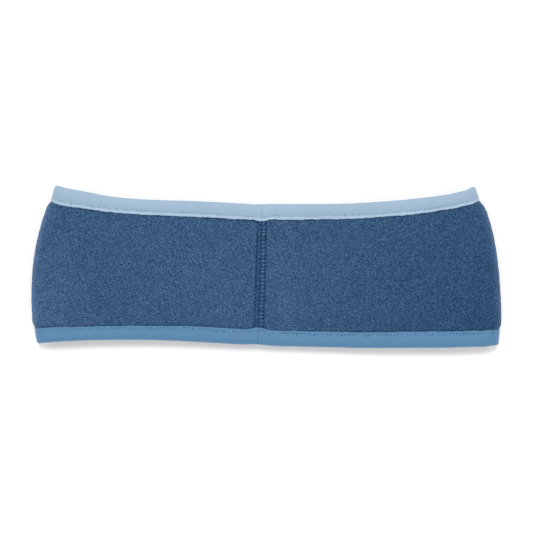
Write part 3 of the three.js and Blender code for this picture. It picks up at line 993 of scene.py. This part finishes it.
def seam_bed(form, face):
    """The pressed cloth and felted thread under the stitches of the join, with its needle holes and painted
    shade.
    """
    sizes = form.sizes
    lines, distances = join_lines(form, sizes.seam_pitch / 8)
    offsets = np.linspace(-sizes.seam_width / 2, sizes.seam_width / 2, BED_LINES)
    around = form.beside_seam(offsets)[None, :]
    across, reached = lines[:, None], distances[:, None]
    half = fleece_half(form, around, across)
    stitches = seam_stitch_places(form, face)
    generator = np.random.default_rng(47 if face > 0 else 53)
    holes = np.zeros(half.shape)
    for column, below, wide, tall, slope, strength in SEAM_HOLES:
        depth = strength * np.clip(generator.normal(0.95, 0.35, len(stitches)), 0.2, 1.5)
        aside = column + generator.normal(0.0, 0.00023, len(stitches))
        along = stitches - below * sizes.seam_pitch + generator.normal(0.0, 0.00014, len(stitches))
        for hole_x, hole_y, deep in zip(aside, along, depth):
            beside = offsets - hole_x
            beyond = reached - hole_y - slope * beside
            holes = holes + deep * bell(beside, wide) * bell(beyond, tall)
    columns = sum(bell(offsets - hole[0], 0.00055) for hole in SEAM_HOLES)
    edge = smooth_step(np.abs(offsets) / (sizes.seam_width / 2), 0.9, 1.0)
    holes = np.minimum(holes, 1.2)
    top = half + BED_RISE - BED_FALL * edge - COLUMN_DEPTH * columns - HOLE_DEPTH * holes
    # Painted shade: the bed darkened between the yarn, more along the columns and most in the needle holes,
    # with a painted shadow at its upper end under the upper tape's lip.
    shaded = blend(0.63 - 0.09 * columns, 1.0, edge) * (1.0 - 0.8 * holes)
    shaded = shaded * (1.0 - 0.5 * bell(reached - distances[-1], 0.0018))
    upper = form.off_wall(around, across, face * top)
    lower = form.off_wall(around, across, face * (half - BED_SUNK))
    points = np.concatenate([upper, lower[:, ::-1]], axis=1)
    tone = np.concatenate([np.clip(shaded, 0.03, None), np.full(top.shape, 0.5)], axis=1)
    rows, width = points.shape[:2]
    faces, _ = grid_faces(rows, width, False)
    faces = faces[:, ::-1] if face > 0 else faces
    caps = [cap[::int(face)] for cap in end_caps(rows, width)]
    faces = faces.tolist() + [cap.tolist() for cap in caps]
    flat = points.reshape(-1, 3)
    chart = flat[np.concatenate([np.array(f) for f in faces]), :2]
    return flat, faces, chart, tone.ravel()


def seam_rungs(form, face, left, right, rise, radius, slant, shade, seed):
    """Yarn from one column of needle holes towards the next, one strand to a stitch."""
    sizes = form.sizes
    lines, distances = join_lines(form, sizes.seam_pitch / 8)
    stitches = seam_stitch_places(form, face)
    stitches = stitches[stitches < distances[-1] - sizes.seam_pitch / 2]
    generator = np.random.default_rng(seed + int(face))
    stops = np.linspace(0.0, 1.0, 9)
    bulge = np.sin(np.pi * stops) ** 0.7
    jitter = generator.normal(0.0, 1.0, (len(stitches), 5))
    turned = slant + 0.13 * jitter[:, :1]
    reached = stitches[:, None] + sizes.seam_pitch * (turned * (stops - 0.5) + 0.05 * jitter[:, 1:2])
    across = np.interp(reached, distances, lines)
    offsets = blend(left, right, stops) + 0.00016 * jitter[:, 2:3]
    around = form.beside_seam(offsets)
    half = fleece_half(form, around, across)
    out = half + 0.00002 + rise * bulge * (1.0 + 0.15 * jitter[:, 3:4])
    centres = form.off_wall(around, across, face * out)
    radii = radius * (0.3 + 0.7 * bulge) * (1.0 + 0.1 * jitter[:, 4:5])
    up = face * form.facing(around, across)
    points, faces, chart = strand_parts(centres, radii, up, SEAM_SIDES, 0.7)
    # Painted highlight on each strand's crest, painted shade where it sinks to its holes.
    lit = shade * (0.5 + 0.5 * bulge) * (1.0 + 0.2 * jitter[:, 3:4])
    return points, faces, chart, np.repeat(lit.ravel(), SEAM_SIDES)


class HEADBAND_OT_join(bpy.types.Operator):
    """Make the threads of the flat-locked join, on the band's outer and inner faces"""

    bl_idname = "headband.join"
    bl_label = "Flat-Locked Join"

    def execute(self, context):
        form = BandForm(context.scene.headband_sizes)
        yarn = context.scene.headband_colours.seam_thread
        material = thread_material("seam_yarn", yarn, JOIN_SHADOW, 1500.0, 0.8)
        for name, face in (("outer", 1.0), ("inner", -1.0)):
            parts = [seam_bed(form, face), *(seam_rungs(form, face, *facts) for facts in SEAM_RUNGS)]
            piece = new_piece(f"seam_threads_{name}", strand_mesh(f"seam_threads_{name}", parts), material)
            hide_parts(f"seam_{name}")
        return {"FINISHED"}


class HEADBAND_OT_cloth_facts(bpy.types.Operator):
    """Return at once, without saying or making anything"""

    bl_idname = "headband.cloth_facts"
    bl_label = "Cloth Facts"

    def execute(self, context):
        return {"FINISHED"}


# Stage

# The camera's height, the width that it sees at the height of the band's outline and the middle of its
# view, then the strength of the even light and of the sun, the sun's width and how it leans.
CAMERA_HEIGHT = 1.5
FRAME_WIDTH = 0.27843
FRAME_MIDDLE = (0.00026, 0.00011)
OUTLINE_HEIGHT = 0.008
EVEN_LIGHT, SUN_LIGHT = 1.15, 1.42
SUN_WIDTH = math.radians(14)
SUN_LEAN = (math.radians(-17), math.radians(-1.5), 0.0)
FLOOR_REACH = 4.0


class HEADBAND_OT_stage(bpy.types.Operator):
    """Make the plain floor, the soft studio light and the camera that looks straight down"""

    bl_idname = "headband.stage"
    bl_label = "Stage"

    def execute(self, context):
        scene = context.scene
        mesh = bpy.data.meshes.new("floor")
        corners = [(FLOOR_REACH * x, FLOOR_REACH * y, 0) for x, y in ((-1, -1), (1, -1), (1, 1), (-1, 1))]
        mesh.from_pydata(corners, [], [(0, 1, 2, 3)])
        floor = bpy.data.objects.new("floor", mesh)
        scene.collection.objects.link(floor)
        material = bpy.data.materials.new("floor_paper")
        material.use_nodes = True
        finish = {"Roughness": 0.9, "Specular IOR Level": 0.1}
        finish["Base Color"] = (*scene.headband_colours.floor, 1.0)
        set_inputs(material.node_tree, material.node_tree.nodes["Principled BSDF"], finish)
        mesh.materials.append(material)

        world = bpy.data.worlds.new("studio")
        world.use_nodes = True
        evenly = {"Color": (1.0, 1.0, 1.0, 1.0), "Strength": EVEN_LIGHT}
        set_inputs(world.node_tree, world.node_tree.nodes["Background"], evenly)
        scene.world = world

        lamp = bpy.data.lights.new("key_light", "SUN")
        lamp.energy = SUN_LIGHT
        lamp.angle = SUN_WIDTH
        key = bpy.data.objects.new("key_light", lamp)
        key.rotation_euler = SUN_LEAN
        scene.collection.objects.link(key)

        lens = bpy.data.cameras.new("camera")
        lens.sensor_width = 36.0
        lens.lens = lens.sensor_width * (CAMERA_HEIGHT - OUTLINE_HEIGHT) / FRAME_WIDTH
        lens.clip_start = 0.1
        lens.clip_end = 20.0
        camera = bpy.data.objects.new("camera", lens)
        camera.location = (*FRAME_MIDDLE, CAMERA_HEIGHT)
        scene.collection.objects.link(camera)
        scene.camera = camera
        scene.view_settings.view_transform = "Standard"
        return {"FINISHED"}


class HEADBAND_PT_pieces(bpy.types.Panel):
    """Sidebar panel that lists the headband's pieces, sizes and colours"""

    bl_label = "Headband"
    bl_idname = "HEADBAND_PT_pieces"
    bl_space_type = "VIEW_3D"
    bl_region_type = "UI"
    bl_category = "Headband"

    def draw(self, context):
        layout = self.layout
        for operator in OPERATORS:
            layout.operator(operator.bl_idname)
        for group in (context.scene.headband_sizes, context.scene.headband_colours):
            box = layout.box()
            for key in group.bl_rna.properties.keys():
                if key not in {"rna_type", "name"}:
                    box.prop(group, key)


OPERATORS = (
    HEADBAND_OT_fleece,
    HEADBAND_OT_tapes,
    HEADBAND_OT_tape_stitches,
    HEADBAND_OT_join,
    HEADBAND_OT_cloth_facts,
    HEADBAND_OT_stage,
)
CLASSES = (HeadbandSizes, HeadbandColours, *OPERATORS, HEADBAND_PT_pieces)


def register():
    for item in CLASSES:
        bpy.utils.register_class(item)
    bpy.types.Scene.headband_sizes = PointerProperty(type=HeadbandSizes)
    bpy.types.Scene.headband_colours = PointerProperty(type=HeadbandColours)


def unregister():
    del bpy.types.Scene.headband_colours
    del bpy.types.Scene.headband_sizes
    for item in reversed(CLASSES):
        bpy.utils.unregister_class(item)


def main():
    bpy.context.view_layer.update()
    register()
    bpy.ops.headband.fleece()
    bpy.ops.headband.tapes()
    bpy.ops.headband.tape_stitches()
    bpy.ops.headband.join()
    bpy.ops.headband.cloth_facts()
    bpy.ops.headband.stage()


if __name__ == "__main__":
    main()
